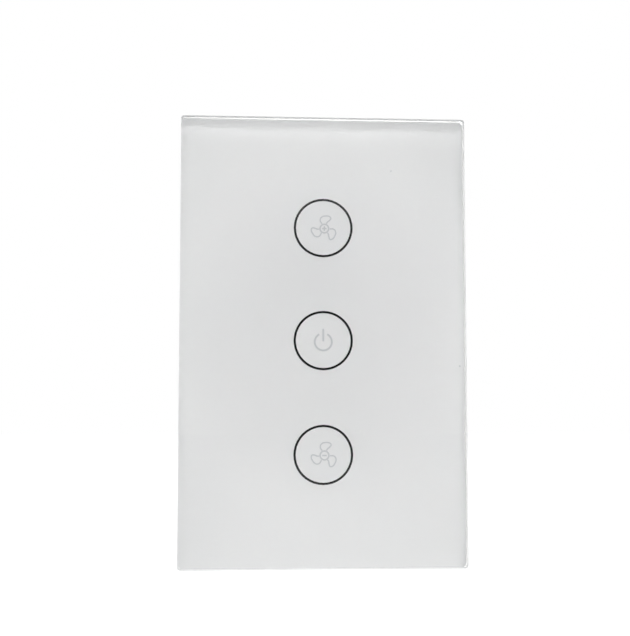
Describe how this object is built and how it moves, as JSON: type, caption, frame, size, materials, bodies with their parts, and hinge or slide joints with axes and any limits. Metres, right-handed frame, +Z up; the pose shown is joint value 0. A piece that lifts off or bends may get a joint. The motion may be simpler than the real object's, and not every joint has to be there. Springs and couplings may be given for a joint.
{
  "type": "smart fan switch",
  "caption": "Wall-mounted touch fan-speed switch: a flat glass panel with printed rings and icons snaps over a box-mounted yoke and a rear module with cage-clamp terminals.",
  "frame": {"origin": "centre of the two box-screw slots, on the wall plane", "axes": "+Z up as it hangs on the wall, +X right seen from the front, the glass faces -Y"},
  "size_m": [0.075, 0.0354, 0.118],
  "materials": {
    "clear_glass": "clear tempered glass, polished bevel",
    "white_ink": "screen-printed white back coat",
    "black_ink": "screen-printed black line",
    "bond_tape": "white acrylic foam tape",
    "white_plastic": "moulded white polycarbonate blend, fine texture",
    "housing_plastic": "moulded black polycarbonate, fine texture",
    "board_laminate": "glass-fibre laminate with green solder mask",
    "radio_laminate": "glass-fibre laminate with dark blue solder mask",
    "shield_metal": "tin-plated sheet steel",
    "spring_metal": "nickel-plated spring wire",
    "chip_plastic": "moulded black epoxy",
    "led_plastic": "white lamp body with a phosphor lens",
    "connector_plastic": "moulded black polyamide",
    "relay_plastic": "moulded black polyester case",
    "film_plastic": "yellow epoxy-filled plastic case",
    "ferrite": "ground dark ferrite",
    "coil_tape": "yellow polyester tape over enamelled wire",
    "can_sleeve": "shrink sleeve on an aluminium can",
    "fuse_plastic": "moulded dark brown plastic",
    "varistor_epoxy": "dipped blue epoxy",
    "pole_plastic": "moulded green polyamide",
    "contact_metal": "tinned brass strip",
    "clamp_metal": "zinc-plated steel"
  },
  "bodies": {
    "base": {"mounting_yoke": "white_plastic", "rear_housing": "housing_plastic", "housing_screws": "clamp_metal", "touch_board": "board_laminate", "touch_spring_faster": "spring_metal", "indicator_led_faster": "led_plastic", "touch_spring_power": "spring_metal", "indicator_led_power": "led_plastic", "touch_spring_slower": "spring_metal", "indicator_led_slower": "led_plastic", "radio_module": "radio_laminate", "radio_shield": "shield_metal", "touch_controller": "chip_plastic", "pin_header": "connector_plastic", "header_socket": "connector_plastic", "power_board": "board_laminate", "speed_relay_low": "relay_plastic", "speed_relay_medium": "relay_plastic", "speed_relay_high": "relay_plastic", "run_capacitor_a": "film_plastic", "run_capacitor_b": "film_plastic", "transformer_core": "ferrite", "transformer_coil": "coil_tape", "bulk_capacitor": "can_sleeve", "output_capacitor": "can_sleeve", "mains_fuse": "fuse_plastic", "surge_varistor": "varistor_epoxy", "bridge_rectifier": "chip_plastic", "terminal_pole_line": "pole_plastic", "contact_bar_line": "contact_metal", "terminal_pole_neutral": "pole_plastic", "contact_bar_neutral": "contact_metal", "terminal_pole_fan": "pole_plastic", "contact_bar_fan": "contact_metal"},
    "front_panel": {"glass_panel": "clear_glass", "white_print": "white_ink", "ring_print": "black_ink", "bond_tape": "bond_tape", "panel_frame": "white_plastic"},
    "screw_line": {"clamp_screw_line": "clamp_metal"},
    "cage_line": {"clamp_cage_line": "clamp_metal"},
    "screw_neutral": {"clamp_screw_neutral": "clamp_metal"},
    "cage_neutral": {"clamp_cage_neutral": "clamp_metal"},
    "screw_fan": {"clamp_screw_fan": "clamp_metal"},
    "cage_fan": {"clamp_cage_fan": "clamp_metal"}
  },
  "joints": [
    {"name": "panel_pull", "type": "slide", "parent": "base", "child": "front_panel", "axis": [0, -1, 0], "range_m": [0, 0.03]},
    {"name": "cage_line_rise", "type": "slide", "parent": "base", "child": "cage_line", "axis": [0, 1, 0], "range_m": [0, 0.0028]},
    {"name": "screw_line_turn", "type": "hinge", "parent": "base", "child": "screw_line", "pos_m": [-0.0096, 0.015, -0.02645], "axis": [0, -1, 0], "range_deg": [0, 1680.1]},
    {"name": "cage_neutral_rise", "type": "slide", "parent": "base", "child": "cage_neutral", "axis": [0, 1, 0], "range_m": [0, 0.0028]},
    {"name": "screw_neutral_turn", "type": "hinge", "parent": "base", "child": "screw_neutral", "pos_m": [0, 0.015, -0.02645], "axis": [0, -1, 0], "range_deg": [0, 1680.1]},
    {"name": "cage_fan_rise", "type": "slide", "parent": "base", "child": "cage_fan", "axis": [0, 1, 0], "range_m": [0, 0.0028]},
    {"name": "screw_fan_turn", "type": "hinge", "parent": "base", "child": "screw_fan", "pos_m": [0.0096, 0.015, -0.02645], "axis": [0, -1, 0], "range_deg": [0, 1680.1]}
  ],
  "couplings": [
    {"joint": "screw_line_turn", "follows": "cage_line_rise", "rad_per_m": 10472},
    {"joint": "screw_neutral_turn", "follows": "cage_neutral_rise", "rad_per_m": 10472},
    {"joint": "screw_fan_turn", "follows": "cage_fan_rise", "rad_per_m": 10472}
  ]
}
